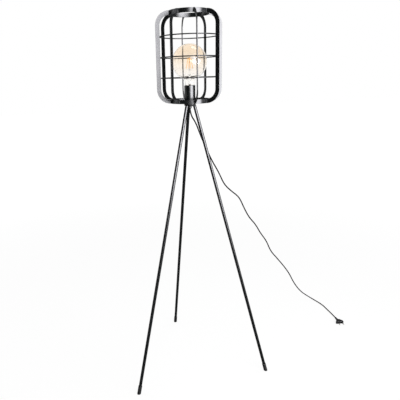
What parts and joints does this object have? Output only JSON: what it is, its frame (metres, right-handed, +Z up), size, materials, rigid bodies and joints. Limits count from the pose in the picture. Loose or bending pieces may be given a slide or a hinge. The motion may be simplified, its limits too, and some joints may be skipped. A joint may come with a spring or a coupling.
{
  "type": "wire cage floor lamp",
  "caption": "Floor lamp on slanted straight legs, with an open cage of flat ribs and round hoops about a globe bulb, and a cord with a flat plug.",
  "frame": {"origin": "on the floor under the lamp's axis, midway between the three feet", "axes": "+Z up along the lamp's axis, +Y towards the back leg, +X towards the right leg's side, where the cord lies"},
  "size_m": [1.0565, 0.499, 1.4],
  "materials": {
    "black_lacquer": "satin-gloss black lacquer",
    "holder_black": "smooth glossy black",
    "plated_steel": "zinc-plated",
    "brass": "plain brass",
    "nickel_brass": "nickel-plated",
    "white_ceramic": "glazed white insulator",
    "wire_insulation": "brown and blue insulation",
    "cord_black": "smooth black flexible sheath",
    "amber_glass": "pale amber tint, clear at the neck",
    "black_glass": "black glass bead",
    "clear_glass": "clear",
    "filament": "warm glowing stick",
    "foot_rubber": "soft black cap"
  },
  "bodies": {
    "lamp": {"top_ring": "black_lacquer", "bottom_ring": "black_lacquer", "rib_1": "black_lacquer", "rib_2": "black_lacquer", "rib_3": "black_lacquer", "rib_4": "black_lacquer", "rib_5": "black_lacquer", "rib_6": "black_lacquer", "rib_7": "black_lacquer", "rib_8": "black_lacquer", "hoop_upper": "black_lacquer", "hoop_middle": "black_lacquer", "hoop_lower": "black_lacquer", "cross_bar": "black_lacquer", "hub": "black_lacquer", "threaded_nipple": "plated_steel", "lock_washer": "plated_steel", "cord_grip": "cord_black", "holder_base": "holder_black", "holder_sleeve": "holder_black", "holder_core": "white_ceramic", "holder_shell": "brass", "holder_contact": "brass", "terminal_screws": "plated_steel", "inner_wires": "wire_insulation", "cord": "cord_black", "plug_relief": "cord_black", "plug_body": "cord_black", "plug_pins": "nickel_brass"},
    "bulb_thread": {"bulb_contact": "brass"},
    "bulb": {"bulb_glass": "amber_glass", "bulb_cap": "nickel_brass", "bulb_insulator": "black_glass", "bulb_stem": "clear_glass", "bulb_filament": "filament", "filament_leads": "plated_steel"},
    "leg_left_thread": {"leg_left_stud": "plated_steel"},
    "leg_left_body": {"leg_left": "black_lacquer", "leg_left_insert": "plated_steel", "leg_left_foot": "foot_rubber"},
    "leg_right_thread": {"leg_right_stud": "plated_steel"},
    "leg_right_body": {"leg_right": "black_lacquer", "leg_right_insert": "plated_steel", "leg_right_foot": "foot_rubber"},
    "leg_back_thread": {"leg_back_stud": "plated_steel"},
    "leg_back_body": {"leg_back": "black_lacquer", "leg_back_insert": "plated_steel", "leg_back_foot": "foot_rubber"}
  },
  "joints": [
    {"name": "bulb_rise", "type": "slide", "parent": "lamp", "child": "bulb_thread", "axis": [0, 0, 1], "range_m": [0, 0.01814]},
    {"name": "bulb_turn", "type": "hinge", "parent": "bulb_thread", "child": "bulb", "pos_m": [0, 0, 1.2], "axis": [0, 0, 1], "range_deg": [0, 1800]},
    {"name": "leg_left_out", "type": "slide", "parent": "lamp", "child": "leg_left_thread", "axis": [-0.2254, -0.1301, -0.9655], "range_m": [0, 0.01]},
    {"name": "leg_left_turn", "type": "hinge", "parent": "leg_left_thread", "child": "leg_left_body", "pos_m": [-0.01472, -0.0085, 1.076], "axis": [-0.2254, -0.1301, -0.9655], "range_deg": [0, 2881]},
    {"name": "leg_right_out", "type": "slide", "parent": "lamp", "child": "leg_right_thread", "axis": [0.2254, -0.1301, -0.9655], "range_m": [0, 0.01]},
    {"name": "leg_right_turn", "type": "hinge", "parent": "leg_right_thread", "child": "leg_right_body", "pos_m": [0.01472, -0.0085, 1.076], "axis": [0.2254, -0.1301, -0.9655], "range_deg": [0, 2881]},
    {"name": "leg_back_out", "type": "slide", "parent": "lamp", "child": "leg_back_thread", "axis": [0, 0.2602, -0.9655], "range_m": [0, 0.01]},
    {"name": "leg_back_turn", "type": "hinge", "parent": "leg_back_thread", "child": "leg_back_body", "pos_m": [0, 0.017, 1.076], "axis": [0, 0.2602, -0.9655], "range_deg": [0, 2881]}
  ],
  "couplings": [
    {"joint": "bulb_turn", "follows": "bulb_rise", "rad_per_m": 1731.4},
    {"joint": "leg_left_turn", "follows": "leg_left_out", "rad_per_m": 5026.5},
    {"joint": "leg_right_turn", "follows": "leg_right_out", "rad_per_m": 5026.5},
    {"joint": "leg_back_turn", "follows": "leg_back_out", "rad_per_m": 5026.5}
  ]
}
